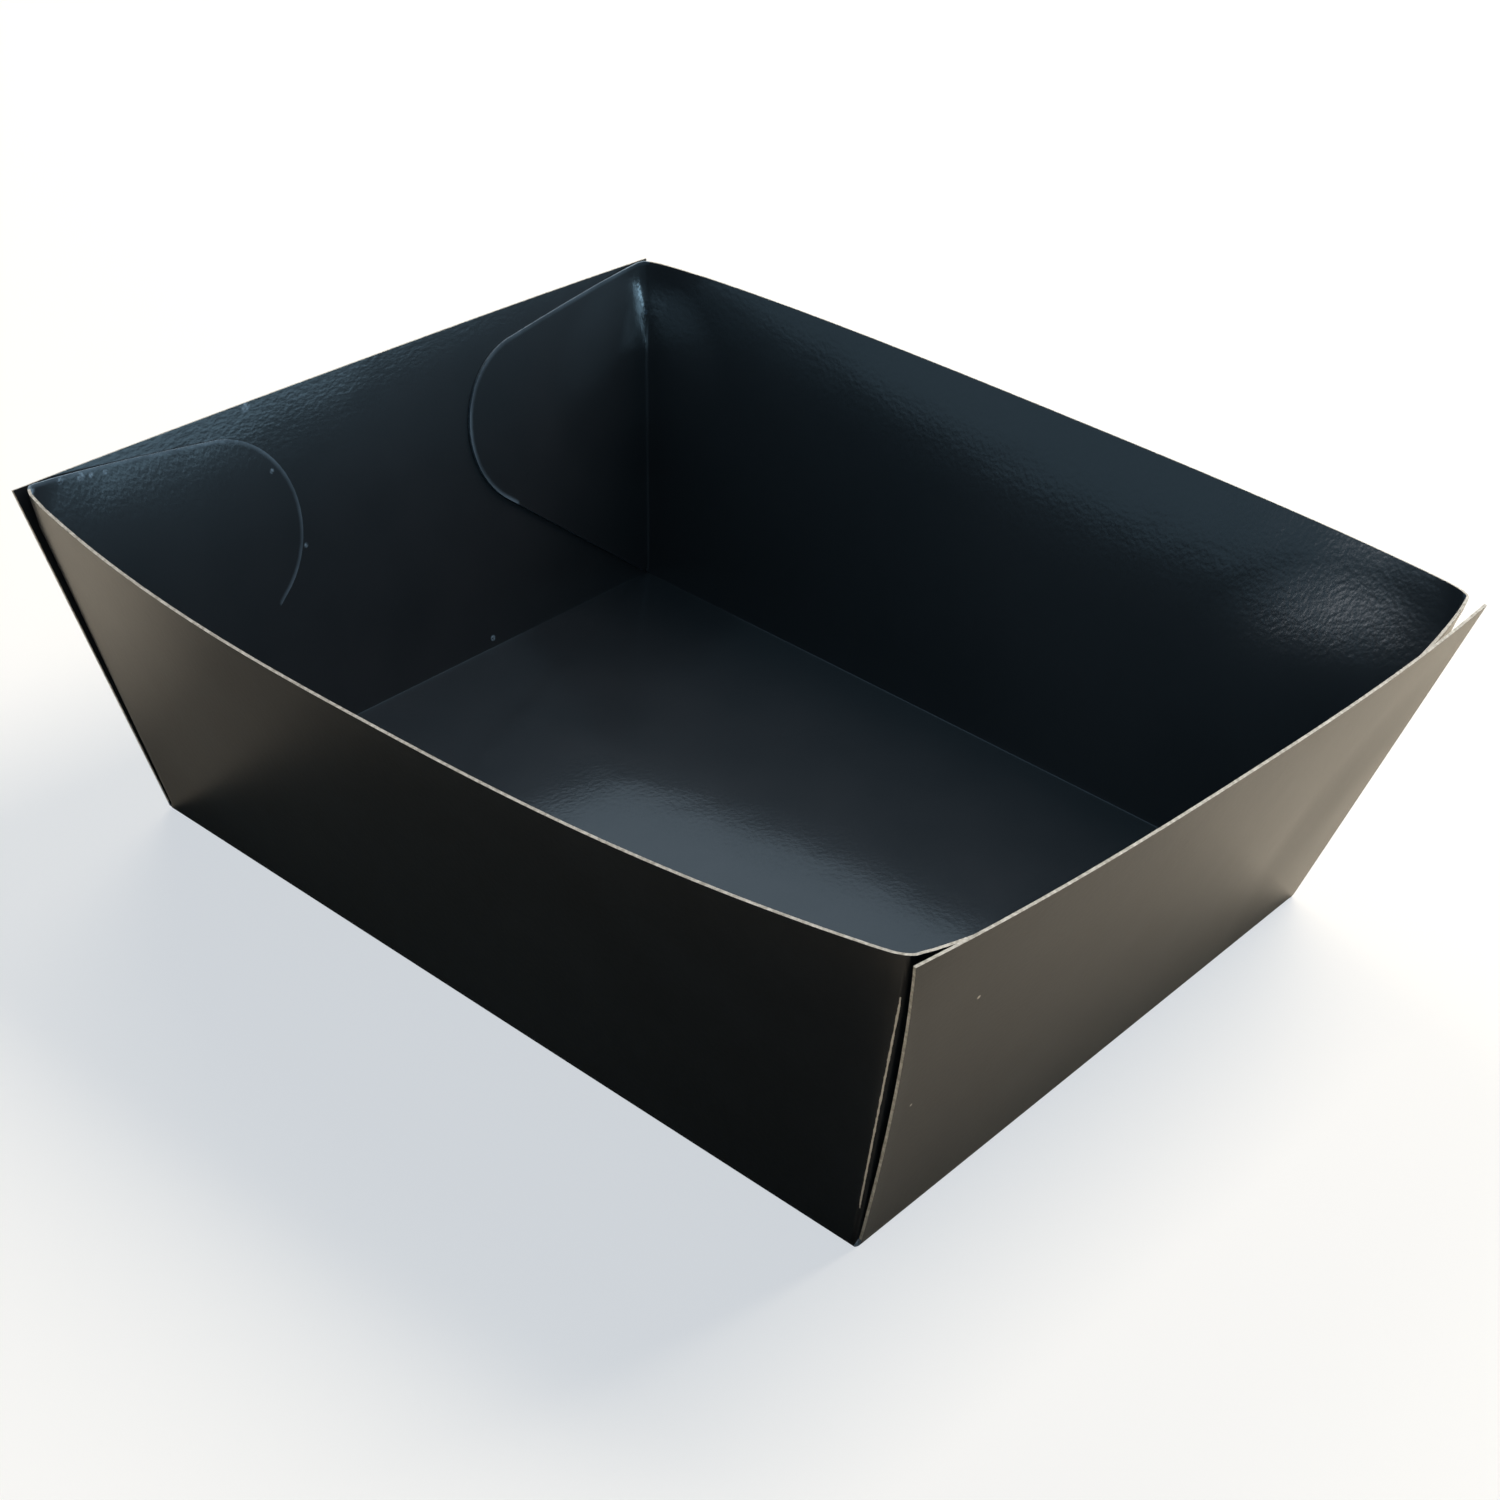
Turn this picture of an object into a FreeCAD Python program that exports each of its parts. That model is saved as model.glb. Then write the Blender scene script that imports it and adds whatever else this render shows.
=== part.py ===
import FreeCAD, Part
import math
import os
from FreeCAD import Vector

# A small open food tray, folded by hand from one blank of black coated paperboard.
# The two long walls carry a round-ended tab at each end. The tabs fold round the
# corners and are glued to the inside of the two end panels, which have free side
# edges. The sheet is one piece: every wall meets the base or its tabs at a crease.
# Frame: X along the long side, +Z up, origin at the middle of the base's underside.
# Millimetres. Front is -Y, right is +X.

# The blank
base_length = 150.0        # between the two end creases
base_width = 120.0         # between the two long creases
board = 0.45               # thickness of the paperboard
crease_radius = 0.35       # inside radius of a fold
corner_crease = 63.0       # length of the crease between a long wall and its tab
cut_edge = 62.7            # length of the free side edge of an end panel
corner_relief = 1.3        # each base crease stops this far short of the corner
fold_height = 1.0          # the fold at the foot of a wall reaches this high

# The tabs: a tongue with a round end, narrow where it leaves the corner
front_tab_reach = 48.0     # from the corner crease to the tip, on the front wall
back_tab_reach = 45.5      # the same on the back wall
tab_round = 16.0           # radius of the round end
tab_centre_height = 39.0   # height of the centre of that round above the base
tab_root = 1.4             # width of the strip beside the crease that runs full height
tab_free = 24.0            # a tab stands free of the end panel this far from its crease
glue_bite = 0.03           # beyond that it is pressed this deep into the panel

# How the walls stand after folding. A hand-folded tray isn't quite even, so each
# corner has its own lean: how far the top of the end panel's corner (x) and of the
# long wall's corner crease (y) lie outside the foot of the corner.
front_left_lean_x = 18.0
front_left_lean_y = 12.9
front_right_lean_x = 9.8
front_right_lean_y = 9.2
back_right_lean_x = 15.5
back_right_lean_y = 12.9
back_left_lean_x = 12.6
back_left_lean_y = 8.3
# The end panel's corner springs away from the fold behind it by a gap, and its side
# edge runs past the long wall's face, or stops short of it where the value is negative.
front_left_gap = 1.0
front_left_past = 0.7
front_right_gap = 0.7
front_right_past = 0.4
back_right_gap = 2.2
back_right_past = -0.2
back_left_gap = 0.1
back_left_past = 0.4
# Each wall bulges outward in the middle of its rim.
front_bow = 7.6
back_bow = 7.9
right_bow = 2.3
left_bow = 1.6
bow_shape = 2.6            # 2 is an even curve, more is flatter in the middle

TRIM = 5.0                 # the raw sheets stand this far past every cut edge
SAMPLES = 12               # points along each curved sheet
END_SHARE = 0.02           # the last share of a wall, which gives the way its end points
SPRING_FADE = 1.5          # how quickly a sprung tab settles onto its panel, 1 is evenly


class Corner:
    """The foot and the rim of one corner, for the long wall and for the end panel."""

    def __init__(self, side_x, side_y, lean_x, lean_y, gap, past):
        self.panel_foot = Vector(side_x * base_length / 2, side_y * base_width / 2, 0)
        past_y = lean_y + past
        panel_rise = math.sqrt(cut_edge ** 2 - lean_x ** 2 - past_y ** 2)
        self.panel_top = self.panel_foot + Vector(side_x * lean_x, side_y * past_y, panel_rise)
        # The long wall's crease lies one board, and the gap, inside the end panel.
        self.wall_foot = self.panel_foot - Vector(side_x * board, 0, 0)
        fold_x = lean_x - gap
        wall_rise = math.sqrt(corner_crease ** 2 - fold_x ** 2 - lean_y ** 2)
        self.wall_top = self.wall_foot + Vector(side_x * fold_x, side_y * lean_y, wall_rise)


front_left = Corner(-1, -1, front_left_lean_x, front_left_lean_y, front_left_gap, front_left_past)
front_right = Corner(1, -1, front_right_lean_x, front_right_lean_y, front_right_gap, front_right_past)
back_right = Corner(1, 1, back_right_lean_x, back_right_lean_y, back_right_gap, back_right_past)
back_left = Corner(-1, 1, back_left_lean_x, back_left_lean_y, back_left_gap, back_left_past)
CORNERS = (front_left, front_right, back_right, back_left)
TOP = max(max(c.wall_top.z, c.panel_top.z) for c in CORNERS) + TRIM


class Sheet:
    """One leaning, bowed wall: straight at its foot, with a bowed rim at its top."""

    def __init__(self, feet, tops, outward, bow):
        self.feet = feet
        self.tops = tops
        self.outward = outward
        self.bow = bow
        middle_lean = (tops[0] - feet[0] + tops[1] - feet[1]).dot(outward) / 2 + bow / 2
        self.slope = math.atan2(middle_lean, (tops[0].z + tops[1].z) / 2)
        self.across = board / math.cos(self.slope)      # board measured level

    def rim(self, u):
        """Rim point at u, 0 to 1; the slant length at u is that of the straight wall."""
        foot = self.feet[0] * (1 - u) + self.feet[1] * u
        top = self.tops[0] * (1 - u) + self.tops[1] * u
        lean = (top - foot).dot(self.outward)
        bowed = lean + self.bow * (1 - abs(2 * u - 1) ** bow_shape)
        rise = math.sqrt(lean ** 2 + top.z ** 2 - bowed ** 2)
        point = top + self.outward * (bowed - lean)
        return Vector(point.x, point.y, rise)

    def at(self, u, z):
        """Point of the outer face at u and height z; past its ends the face runs straight on."""
        if u < 0 or u > 1:
            edge = 0.0 if u < 0 else 1.0
            inside = END_SHARE if u < 0 else 1 - END_SHARE
            end = self.at(edge, z)
            return end + (end - self.at(inside, z)) * ((u - edge) / (edge - inside))
        foot = self.feet[0] * (1 - u) + self.feet[1] * u
        rim = self.rim(u)
        along = (rim - foot) * (z / rim.z)
        if z <= fold_height:
            # The foot of the wall is straight, so that it sits on its fold.
            along -= self.outward * along.dot(self.outward)
            along += self.outward * (z * math.tan(self.slope))
        return foot + along

    def length(self):
        return (self.tops[1] - self.tops[0]).Length


front = Sheet((front_left.wall_foot, front_right.wall_foot),
              (front_left.wall_top, front_right.wall_top), Vector(0, -1, 0), front_bow)
back = Sheet((back_right.wall_foot, back_left.wall_foot),
             (back_right.wall_top, back_left.wall_top), Vector(0, 1, 0), back_bow)
right = Sheet((front_right.panel_foot, back_right.panel_foot),
              (front_right.panel_top, back_right.panel_top), Vector(1, 0, 0), right_bow)
left = Sheet((back_left.panel_foot, front_left.panel_foot),
             (back_left.panel_top, front_left.panel_top), Vector(-1, 0, 0), left_bow)


def spline(points):
    """A smooth edge through the points."""
    curve = Part.BSplineCurve()
    curve.interpolate(Points=points)
    return curve.toShape()


def line(start, end):
    return Part.LineSegment(start, end).toShape()


def leftward(heading):
    """Level unit vector to the left of a heading; the inside of the tray lies there."""
    return Vector(-heading.y, heading.x, 0).normalize()


def offset(points, distance):
    """The points moved level to the left of their path by distance."""
    moved = []
    last = len(points) - 1
    for i, point in enumerate(points):
        heading = points[min(i + 1, last)] - points[max(i - 1, 0)]
        moved.append(point + leftward(heading) * distance)
    return moved


def panel_slab(sheet):
    """The raw sheet of an end panel, longer and higher than its cut edges."""
    wires = []
    extra = TRIM / sheet.length()
    for z in (fold_height, TOP):
        spread = [-extra + (1 + 2 * extra) * i / SAMPLES for i in range(SAMPLES + 1)]
        outer = [sheet.at(u, z) for u in spread]
        inner = offset(outer, sheet.across)
        wires.append(Part.Wire([spline(outer), line(outer[-1], inner[-1]),
                                spline(inner[::-1]), line(inner[0], outer[0])]))
    return Part.makeLoft(wires, True, True)


def end_panel(sheet):
    """An end panel: its slab cut to the straight side edges and the bowed rim."""
    slab = panel_slab(sheet)
    rim = [sheet.rim(i / SAMPLES) for i in range(SAMPLES + 1)]

    def flat(point):
        return Vector(0, point.y, point.z)

    def below(foot, top):
        return flat(foot - (top - foot) * (TRIM / top.z))

    low = [below(foot, top) for foot, top in zip(sheet.feet, sheet.tops)]
    outline = Part.Face(Part.Wire([
        spline([flat(p) for p in rim]),
        line(flat(rim[-1]), low[1]),
        line(low[1], low[0]),
        line(low[0], flat(rim[0]))]))
    side = sheet.outward.x
    prism = outline.extrude(Vector(side * base_length, 0, 0))
    return slab.common(prism)


def fold_arcs(vertex, heading_in, heading_out, across_in, across_out):
    """Outer and inner arc of a corner fold at one height: start, middle and end of each."""
    back_along = (heading_in * -1).normalize()
    on = Vector(heading_out).normalize()
    half = back_along.getAngle(on) / 2
    middle = (back_along + on).normalize()
    outer_radius = crease_radius + board
    centre = vertex + middle * (outer_radius / math.sin(half))
    reach = outer_radius / math.tan(half)
    outer = (vertex + back_along * reach, centre - middle * outer_radius, vertex + on * reach)
    inner = (outer[0] + leftward(heading_in) * across_in, centre - middle * crease_radius,
             outer[2] + leftward(heading_out) * across_out)
    return outer, inner


def tab_path(vertex, panel, starts_at_zero, reach, z):
    """Outer face of a tab at one height, from just past its crease inward along the panel."""
    reach_share = (reach + TRIM) / panel.length()
    free_share = tab_free / panel.length()
    shares = [reach_share * i / SAMPLES for i in range(SAMPLES + 1)]
    us = shares if starts_at_zero else [1 - s for s in shares]
    panel_points = [panel.at(u, z) for u in us]
    inward = panel.across - glue_bite
    faces = offset(panel_points, inward if starts_at_zero else -inward)
    miss = vertex - faces[0]
    path = []
    for share, point in zip(shares, faces):
        free = max(0.0, 1 - share / free_share) ** SPRING_FADE
        path.append(point + miss * free)
    return path


def wall_with_tabs(wall, panel_before, panel_after, reach):
    """The raw sheet of a long wall and its two tabs, folded round both corners.

    The path runs anticlockwise: tab on panel_before, corner, wall, corner, tab on
    panel_after. The inside of the tray is to its left.
    """
    wires = []
    for z in (fold_height, TOP):
        start_vertex = wall.at(0, z)
        end_vertex = wall.at(1, z)
        before = tab_path(start_vertex, panel_before, False, reach, z)[::-1]
        after = tab_path(end_vertex, panel_after, True, reach, z)
        middle = [wall.at(i / SAMPLES, z) for i in range(1, SAMPLES)]
        outer_a, inner_a = fold_arcs(start_vertex, start_vertex - before[-2],
                                     middle[0] - start_vertex, panel_before.across, wall.across)
        outer_b, inner_b = fold_arcs(end_vertex, end_vertex - middle[-1],
                                     after[1] - end_vertex, wall.across, panel_after.across)
        outer_paths = (before[:-1] + [outer_a[0]],
                       [outer_a[2]] + middle + [outer_b[0]],
                       [outer_b[2]] + after[1:])
        inner_paths = (offset(outer_paths[0], panel_before.across)[:-1] + [inner_a[0]],
                       [inner_a[2]] + offset(outer_paths[1], wall.across)[1:-1] + [inner_b[0]],
                       [inner_b[2]] + offset(outer_paths[2], panel_after.across)[1:])
        edges = [spline(outer_paths[0]), Part.Arc(*outer_a).toShape(),
                 spline(outer_paths[1]), Part.Arc(*outer_b).toShape(),
                 spline(outer_paths[2]), line(outer_paths[2][-1], inner_paths[2][-1]),
                 spline(inner_paths[2][::-1]), Part.Arc(*inner_b[::-1]).toShape(),
                 spline(inner_paths[1][::-1]), Part.Arc(*inner_a[::-1]).toShape(),
                 spline(inner_paths[0][::-1]), line(inner_paths[0][0], outer_paths[0][0])]
        wires.append(Part.Wire(edges))
    return Part.makeLoft(wires, True, True)


def tangent_point(start, centre, radius, side):
    """Where the line from start touches the circle in the YZ plane, on one side of it."""
    to_centre = centre - start
    distance = to_centre.Length
    swing = side * math.acos(radius / distance)
    back_y = -to_centre.y / distance
    back_z = -to_centre.z / distance
    return centre + Vector(0, back_y * math.cos(swing) - back_z * math.sin(swing),
                           back_y * math.sin(swing) + back_z * math.cos(swing)) * radius


def tab_waste(foot, top, reach, inward):
    """What is cut away round a tab, seen along X: all but the tongue beside the crease.

    inward is +1 where the tab runs towards +Y and -1 where it runs towards -Y.
    """
    def beside(z):
        share = z / top.z
        return foot.y + (top.y - foot.y) * share + inward * tab_root

    crease_y = beside(tab_centre_height) - inward * tab_root
    centre = Vector(0, crease_y + inward * (reach - tab_round), tab_centre_height)
    tip = centre + Vector(0, inward * tab_round, 0)
    high = Vector(0, beside(top.z), top.z)
    low = Vector(0, beside(fold_height), fold_height)
    touch_high = tangent_point(high, centre, tab_round, -inward)
    touch_low = tangent_point(low, centre, tab_round, inward)
    far = tip.y + inward * 2 * TRIM
    corners = [low, Vector(0, low.y, fold_height - TRIM), Vector(0, far, fold_height - TRIM),
               Vector(0, far, TOP + TRIM), Vector(0, high.y, TOP + TRIM), high, touch_high]
    edges = [line(a, b) for a, b in zip(corners, corners[1:])]
    edges.append(Part.Arc(touch_high, tip, touch_low).toShape())
    edges.append(line(touch_low, low))
    side = 1 if top.x > 0 else -1
    return Part.Face(Part.Wire(edges)).extrude(Vector(side * base_length, 0, 0))


def rim_waste(wall, inward):
    """What is cut away above a long wall's bowed rim, seen along Y."""
    rim = [wall.rim(i / SAMPLES) for i in range(SAMPLES + 1)]
    outer_y = -inward * base_width
    inner_y = inward * (max(t.y * inward for t in wall.tops) + 2 * tab_root)

    def flat(x, z):
        return Vector(x, outer_y, z)

    first, last = rim[0], rim[-1]
    step = math.copysign(TRIM, last.x - first.x)
    edges = [spline([flat(p.x, p.z) for p in rim])]
    corners = [flat(last.x, last.z), flat(last.x + step, last.z), flat(last.x + step, TOP + TRIM),
               flat(first.x - step, TOP + TRIM), flat(first.x - step, first.z),
               flat(first.x, first.z)]
    edges += [line(a, b) for a, b in zip(corners, corners[1:])]
    return Part.Face(Part.Wire(edges)).extrude(Vector(0, inner_y - outer_y, 0))


def long_wall(wall, corners, panels, reach, inward):
    """A long wall with its two tabs, cut to the rim and to the tabs' round tongues."""
    shape = wall_with_tabs(wall, panels[0], panels[1], reach)
    shape = shape.cut(rim_waste(wall, inward))
    for corner in corners:
        shape = shape.cut(tab_waste(corner.wall_foot, corner.wall_top, reach, inward))
    return shape


def base_fold(sheet, half_length, crease_at):
    """The rounded fold between the base and one wall, straight along its crease."""
    out = sheet.outward
    along = Vector(-out.y, out.x, 0)
    lean = sheet.slope
    outer_radius = crease_radius + board
    tangent = outer_radius * math.tan((math.pi / 2 - lean) / 2)
    centre = Vector(-tangent, 0, outer_radius)

    def place(x, z):
        return out * (crease_at + x) - along * half_length + Vector(0, 0, z)

    def round_point(radius, angle):
        return place(centre.x + radius * math.sin(angle), centre.z - radius * math.cos(angle))

    sweep = math.pi / 2 - lean
    top_out = fold_height * math.tan(lean)
    outer_arc = Part.Arc(round_point(outer_radius, 0), round_point(outer_radius, sweep / 2),
                         round_point(outer_radius, sweep)).toShape()
    inner_arc = Part.Arc(round_point(crease_radius, sweep), round_point(crease_radius, sweep / 2),
                         round_point(crease_radius, 0)).toShape()
    section = [outer_arc,
               line(round_point(outer_radius, sweep), place(top_out, fold_height)),
               line(place(top_out, fold_height), place(top_out - sheet.across, fold_height)),
               line(place(top_out - sheet.across, fold_height), round_point(crease_radius, sweep)),
               inner_arc,
               line(round_point(crease_radius, 0), round_point(outer_radius, 0))]
    return Part.Face(Part.Wire(section)).extrude(along * (2 * half_length))


def fold_tangent(sheet):
    """How far inside the crease the base starts to curve up into a wall."""
    return (crease_radius + board) * math.tan((math.pi / 2 - sheet.slope) / 2)


def base_plate():
    """The flat base, up to where each fold begins."""
    west = -base_length / 2 + fold_tangent(left)
    east = base_length / 2 - fold_tangent(right)
    south = -base_width / 2 + fold_tangent(front)
    north = base_width / 2 - fold_tangent(back)
    return Part.makeBox(east - west, north - south, board, Vector(west, south, 0))


def tray():
    """The whole folded sheet as one solid."""
    long_crease = base_length / 2 - corner_relief
    short_crease = base_width / 2 - corner_relief
    pieces = [
        base_fold(front, long_crease, base_width / 2),
        base_fold(back, long_crease, base_width / 2),
        base_fold(right, short_crease, base_length / 2),
        base_fold(left, short_crease, base_length / 2),
        long_wall(front, (front_left, front_right), (left, right), front_tab_reach, 1),
        long_wall(back, (back_right, back_left), (right, left), back_tab_reach, -1),
        end_panel(right),
        end_panel(left),
    ]
    return base_plate().multiFuse(pieces).removeSplitter()


folded = tray()
print("solids", len(folded.Solids), "valid", folded.isValid(), "volume", round(folded.Volume, 1))
os.makedirs("parts", exist_ok=True)
folded.exportStep("parts/tray.step")
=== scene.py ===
# %% [markdown]
# # A folded paperboard food tray
#
# The real tray is one sheet of black coated board. A die cuts the blank and presses its
# creases, and a hand folds it: two long walls with a round-ended tab at each end, and two
# end panels that the tabs are glued to from the inside. This lesson lays the same blank
# out of bmesh grids, folds each panel into place, trims the tabs as the die would, rounds
# the creases and gives the sheet its thickness.
#
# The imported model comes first. It is the fixed frame that every piece here has to fit.

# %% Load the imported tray
import math

import bmesh
import bpy
from mathutils import Matrix, Vector
from mathutils.geometry import intersect_point_line


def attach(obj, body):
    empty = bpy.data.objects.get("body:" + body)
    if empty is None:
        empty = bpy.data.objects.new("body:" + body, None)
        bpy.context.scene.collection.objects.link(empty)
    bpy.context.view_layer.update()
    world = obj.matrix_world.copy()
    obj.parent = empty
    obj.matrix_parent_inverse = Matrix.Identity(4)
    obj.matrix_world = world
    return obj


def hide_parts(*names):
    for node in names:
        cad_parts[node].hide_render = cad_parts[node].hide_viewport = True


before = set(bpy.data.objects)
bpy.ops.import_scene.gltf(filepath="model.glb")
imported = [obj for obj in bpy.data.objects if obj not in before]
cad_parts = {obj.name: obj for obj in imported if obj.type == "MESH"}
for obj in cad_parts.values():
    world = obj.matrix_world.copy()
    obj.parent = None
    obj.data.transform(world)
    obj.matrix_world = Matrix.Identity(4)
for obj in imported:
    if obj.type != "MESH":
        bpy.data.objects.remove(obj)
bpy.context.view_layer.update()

mm = 0.001                        # the scene is in metres, board makers think in millimetres

# %% [markdown]
# ## The camera
#
# The photograph looks down over the tray's near corner, a little tilted. The camera could
# be placed by its matrix, but an aim point, two angles and a roll say how it was held, so
# the matrix is worked out from those. The lens comes from the focal length in pixels of
# the square 1500-pixel picture.

# %% Place the camera
PICTURE = 1500                    # pixels along each side of the photograph
FOCAL = 2632.63                   # focal length in those pixels
SENSOR = 36.0                     # width of the sensor that the focal length in mm goes with
AZIMUTH = math.radians(-52.1375)  # from +X towards +Y, where the camera stands
ELEVATION = math.radians(33.2758)
ROLL = math.radians(4.9814)
DISTANCE = 432.987 * mm
AIM = Vector((0, 0, 30 * mm))
SLIDE_RIGHT = 0.722 * mm
SLIDE_UP = -7.575 * mm

towards = Vector((math.cos(ELEVATION) * math.cos(AZIMUTH),
                  math.cos(ELEVATION) * math.sin(AZIMUTH), math.sin(ELEVATION)))
level_right = (-towards).cross(Vector((0, 0, 1))).normalized()
level_up = level_right.cross(-towards)
right = level_right * math.cos(ROLL) + level_up * math.sin(ROLL)
up = level_up * math.cos(ROLL) - level_right * math.sin(ROLL)
stand = AIM + towards * DISTANCE + right * SLIDE_RIGHT + up * SLIDE_UP

lens = bpy.data.cameras.new("camera")
lens.sensor_width = SENSOR
lens.lens = SENSOR * FOCAL / PICTURE
lens.clip_start = 10 * mm
camera = bpy.data.objects.new("camera", lens)
turned = Matrix((right, up, towards)).transposed().to_4x4()
camera.matrix_world = Matrix.Translation(stand) @ turned
bpy.context.scene.collection.objects.link(camera)
bpy.context.scene.camera = camera
print("camera at", [round(v / mm, 1) for v in stand], "mm, lens", round(lens.lens, 2))

# %% [markdown]
# ## The blank's sizes
#
# These are the driving sizes of the real sheet. Each corner leans a little differently,
# because a hand-folded tray is never quite even, and the photograph shows how.

# %% Name the sizes of the blank
BASE_LENGTH = 150 * mm
BASE_WIDTH = 120 * mm
BOARD = 0.45 * mm                 # thickness of the board
CORNER_CREASE = 63 * mm           # from foot to rim along the crease between wall and tab
CUT_EDGE = 62.7 * mm              # free side edge of an end panel
NIP = 1.1 * mm                    # an end panel's crease stops this far short of the corner
NIP_RISE = 0.4 * mm               # and its nipped corner lifts this far off the table
LIFT = 1.4 * mm                   # the corner creases start at this height
DRAWN_BACK = 0.9 * mm             # the near side edge lies this far back below its top
SPRUNG = 0.55 * mm                # and springs this far out and back at half its height
TAB_ROUND = 16 * mm               # the round end of a tab
TAB_CENTRE = 39 * mm              # height of the centre of that round
TAB_ROOT = 1.4 * mm               # strip beside the crease that keeps its full height
TAB_FOOT = 1 * mm                 # the tab's lower edge starts at this height
TAB_FREE = 24 * mm                # a tab stands off its end panel this far from the crease
FRONT_TAB = 48 * mm               # reach of the front wall's tabs
BACK_TAB = 45.5 * mm              # reach of the back wall's tabs
GLUE_LINE = 0.04 * mm             # a tab lies this clear of the end panel it is glued to
BOW_SHAPE = 2.6                   # 2 is an even curve, more is flatter in the middle
print("board", BOARD / mm, "mm on a base of", BASE_LENGTH / mm, "x", BASE_WIDTH / mm)

# %% [markdown]
# ## Corners and walls
#
# A corner has two tops. One is the free corner of the end panel, the other is the top of
# the crease behind it, between the long wall and its tab. The panel springs away from
# that crease, so the two don't meet. A wall is then a sheet between a straight foot and a
# bowed rim, with straight lines between them. That is what a real board does, because it
# bends easily one way and hardly at all the other.

# %% Work out the corners
class Corner:
    """Foot and top of one corner, for the end panel and for the long wall's crease."""

    def __init__(self, side_x, side_y, lean_x, lean_y, gap, past):
        self.panel_foot = Vector((side_x * BASE_LENGTH / 2, side_y * BASE_WIDTH / 2, 0))
        past_y = lean_y + past
        panel_rise = math.sqrt(CUT_EDGE ** 2 - lean_x ** 2 - past_y ** 2)
        self.panel_top = self.panel_foot + Vector((side_x * lean_x, side_y * past_y, panel_rise))
        self.wall_foot = self.panel_foot - Vector((side_x * BOARD, 0, 0))
        fold_x = lean_x - gap
        wall_rise = math.sqrt(CORNER_CREASE ** 2 - fold_x ** 2 - lean_y ** 2)
        self.wall_top = self.wall_foot + Vector((side_x * fold_x, side_y * lean_y, wall_rise))


front_left = Corner(-1, -1, 18.0 * mm, 12.9 * mm, 1.0 * mm, 0.7 * mm)
front_right = Corner(1, -1, 9.8 * mm, 9.2 * mm, 0.7 * mm, 0.4 * mm)
back_right = Corner(1, 1, 15.5 * mm, 12.9 * mm, 2.2 * mm, -0.2 * mm)
back_left = Corner(-1, 1, 12.6 * mm, 8.3 * mm, 0.1 * mm, 0.4 * mm)
for corner in (front_left, front_right, back_right, back_left):
    print("corner top, mm:", [round(v / mm, 1) for v in corner.wall_top])


# %% Stand the four walls
class Wall:
    """A leaning wall from a straight foot to a bowed rim. Its points are on the outer face."""

    def __init__(self, feet, tops, outward, bow):
        self.feet = feet
        self.tops = tops
        self.outward = Vector(outward)
        self.bow = bow
        middle_lean = (tops[0] - feet[0] + tops[1] - feet[1]).dot(self.outward) / 2 + bow / 2
        self.slope = math.atan2(middle_lean, (tops[0].z + tops[1].z) / 2)
        self.across = BOARD / math.cos(self.slope)      # the board measured level

    def foot(self, u):
        return self.feet[0].lerp(self.feet[1], u)

    def rim(self, u):
        """Rim point at u, 0 to 1, the bow traded against height so the board keeps its size."""
        top = self.tops[0].lerp(self.tops[1], u)
        lean = (top - self.foot(u)).dot(self.outward)
        bowed = lean + self.bow * (1 - abs(2 * u - 1) ** BOW_SHAPE)
        rise = math.sqrt(lean ** 2 + top.z ** 2 - bowed ** 2)
        point = top + self.outward * (bowed - lean)
        return Vector((point.x, point.y, rise))

    def at(self, u, z):
        return self.foot(u).lerp(self.rim(u), z / self.rim(u).z)

    def share(self, u, v):
        """The point at share v of the way from foot to rim."""
        return self.foot(u).lerp(self.rim(u), v)

    def length(self):
        return (self.tops[1] - self.tops[0]).length


front = Wall((front_left.wall_foot, front_right.wall_foot),
             (front_left.wall_top, front_right.wall_top), (0, -1, 0), 7.6 * mm)
back = Wall((back_right.wall_foot, back_left.wall_foot),
            (back_right.wall_top, back_left.wall_top), (0, 1, 0), 7.9 * mm)
right_panel = Wall((front_right.panel_foot, back_right.panel_foot),
                   (front_right.panel_top, back_right.panel_top), (1, 0, 0), 2.3 * mm)
left_panel = Wall((back_left.panel_foot, front_left.panel_foot),
                  (back_left.panel_top, front_left.panel_top), (-1, 0, 0), 1.6 * mm)
print("front wall leans", round(math.degrees(front.slope), 1), "degrees")

# %% [markdown]
# ## Laying the panels
#
# Nine panels make the sheet: a base, four walls and four tabs. Each starts as a bmesh
# grid one unit square. The grid's own x and y then say how far along and how far up the
# panel a point is, and a small function moves it to its folded place. A whole-number
# layer on the faces remembers which panel a face belongs to. A second layer keeps where
# each point lies on the flat blank, because the grain of the board was there before the
# folds and follows them.

# %% Lay a grid and fold it
PANELS = ("base", "front", "back", "right", "left",
          "tab_front_left", "tab_front_right", "tab_back_right", "tab_back_left")
LONG_CELLS = 70                   # cells along the long creases
SHORT_CELLS = 56                  # cells along the short creases
HIGH_CELLS = 28                   # cells from foot to rim
TAB_CELLS = 24                    # cells from a tab's crease to its tip
TOUCH = 1e-4                      # a share this small counts as the edge itself

sheet = bmesh.new()
panel_of = sheet.faces.layers.int.new("panel")
flat_of = sheet.verts.layers.float_vector.new("flat")


def lay(name, columns, rows, place, flat):
    """Adds a panel as a grid. place(u, v) folds a point and flat(u, v) is its blank position."""
    made = bmesh.ops.create_grid(sheet, x_segments=columns, y_segments=rows, size=0.5)["verts"]
    for vert in made:
        u, v = vert.co.x + 0.5, vert.co.y + 0.5
        vert.co = place(u, v)
        vert[flat_of] = flat(u, v)
    for face in {face for vert in made for face in vert.link_faces}:
        face[panel_of] = PANELS.index(name)


def first_row(v, cells, margin):
    """Moves a grid's first line to the margin and spreads the others evenly above it."""
    line = v * cells
    if line <= 1:
        return margin * line
    return margin + (1 - margin) * (line - 1) / (cells - 1)


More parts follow.
